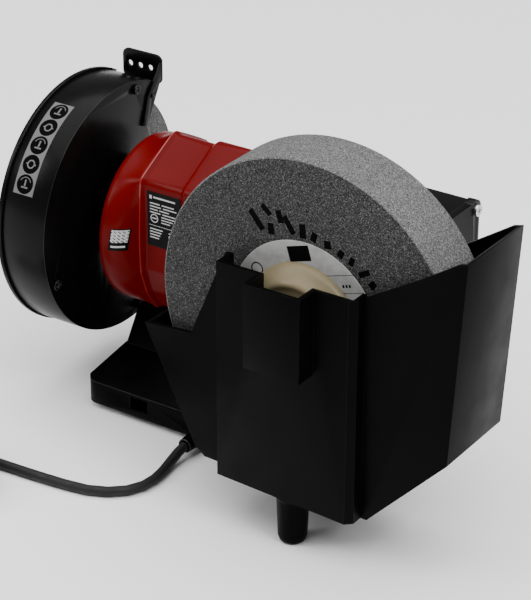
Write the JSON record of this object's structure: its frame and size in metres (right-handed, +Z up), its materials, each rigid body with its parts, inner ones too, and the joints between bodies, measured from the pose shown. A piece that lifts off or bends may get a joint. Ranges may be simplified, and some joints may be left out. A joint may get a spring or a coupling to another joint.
{
  "type": "bench grinder",
  "caption": "Wet-and-dry bench grinder: red motor on a black base, guarded fast dry wheel, geared slow wet wheel in a water trough",
  "frame": {"origin": "on the bench, at the centre of the four bench bolt holes under the base", "axes": "+X from the gearbox along the motor to the dry wheel, +Y to the side of the wet wheel, +Z up"},
  "size_m": [0.459, 0.3561, 0.246],
  "materials": {
    "black_plastic": "satin moulded plastic",
    "red_paint": "gloss deep red paint",
    "black_paint": "gloss black paint",
    "zinc_steel": "zinc plated",
    "turned_steel": "turned and ground",
    "bronze": "cut bronze",
    "copper": "enamelled wire",
    "soft_rubber": "matte",
    "wet_grit": "coarse grey abrasive",
    "dry_grit": "fine grey abrasive",
    "paper": "printed paper",
    "cream_plastic": "cream moulded plastic",
    "label_black": "printed film",
    "label_grey": "printed film",
    "capacitor_case": "white moulded case",
    "red_plastic": "red moulded plastic"
  },
  "bodies": {
    "frame": {"base_housing": "black_plastic", "base_bottom_plate": "zinc_steel", "rubber_feet": "soft_rubber", "base_screws": "zinc_steel", "motor_shell": "red_paint", "stator_core": "turned_steel", "stator_windings": "copper", "tie_rods": "zinc_steel", "dry_end_bell": "black_paint", "dry_end_bearing": "turned_steel", "gear_end_bell": "black_paint", "gear_end_bearing": "turned_steel", "worm_end_bearing": "turned_steel", "gearbox_housing": "black_paint", "gearbox_cover": "black_paint", "gearbox_screws": "zinc_steel", "gearbox_bolts": "zinc_steel", "output_front_bearing": "turned_steel", "output_rear_bearing": "turned_steel", "shaft_seal": "soft_rubber", "trough": "black_plastic", "trough_foot": "black_plastic", "trough_screws": "zinc_steel", "trough_spacers": "black_paint", "guard_inner": "black_paint", "guard_cover": "black_paint", "guard_screws": "black_paint", "shield_tab": "black_paint", "safety_label": "label_grey", "tool_rest_bracket": "black_paint", "tool_rest_bolt": "zinc_steel", "run_capacitor": "capacitor_case", "terminal_block": "cream_plastic", "switch_body": "black_plastic", "rating_label": "label_black", "cord_gland": "black_plastic", "cord_run": "soft_rubber", "cord_coil": "soft_rubber", "cord_tail": "soft_rubber", "plug": "black_plastic"},
    "motor_rotor": {"motor_shaft": "turned_steel", "rotor_core": "turned_steel", "cooling_fan": "cream_plastic", "worm": "turned_steel", "dry_inner_flange": "zinc_steel", "dry_blotters": "paper", "dry_stone": "dry_grit", "dry_outer_flange": "zinc_steel", "dry_nut": "zinc_steel"},
    "wet_wheel": {"output_shaft": "turned_steel", "worm_wheel": "bronze", "wheel_key": "turned_steel", "wet_inner_flange": "zinc_steel", "wet_stone": "wet_grit", "wet_paper_label": "paper", "wet_nut": "cream_plastic"},
    "rocker": {"switch_rocker": "red_plastic"},
    "rest": {"tool_rest": "black_paint"}
  },
  "joints": [
    {"name": "wet_wheel_spin", "type": "hinge", "parent": "frame", "child": "wet_wheel", "pos_m": [-0.12, 0, 0.146], "axis": [0, 1, 0], "continuous": true},
    {"name": "motor_spin", "type": "hinge", "parent": "frame", "child": "motor_rotor", "pos_m": [0, 0, 0.118], "axis": [1, 0, 0], "continuous": true},
    {"name": "switch_rocker", "type": "hinge", "parent": "frame", "child": "rocker", "pos_m": [0, -0.053, 0.0345], "axis": [1, 0, 0], "range_deg": [0, 20]},
    {"name": "tool_rest_slide", "type": "slide", "parent": "frame", "child": "rest", "axis": [0, 1, 0], "range_m": [-0.01, 0.0015]}
  ],
  "couplings": [
    {"joint": "motor_spin", "follows": "wet_wheel_spin", "ratio": 22}
  ]
}
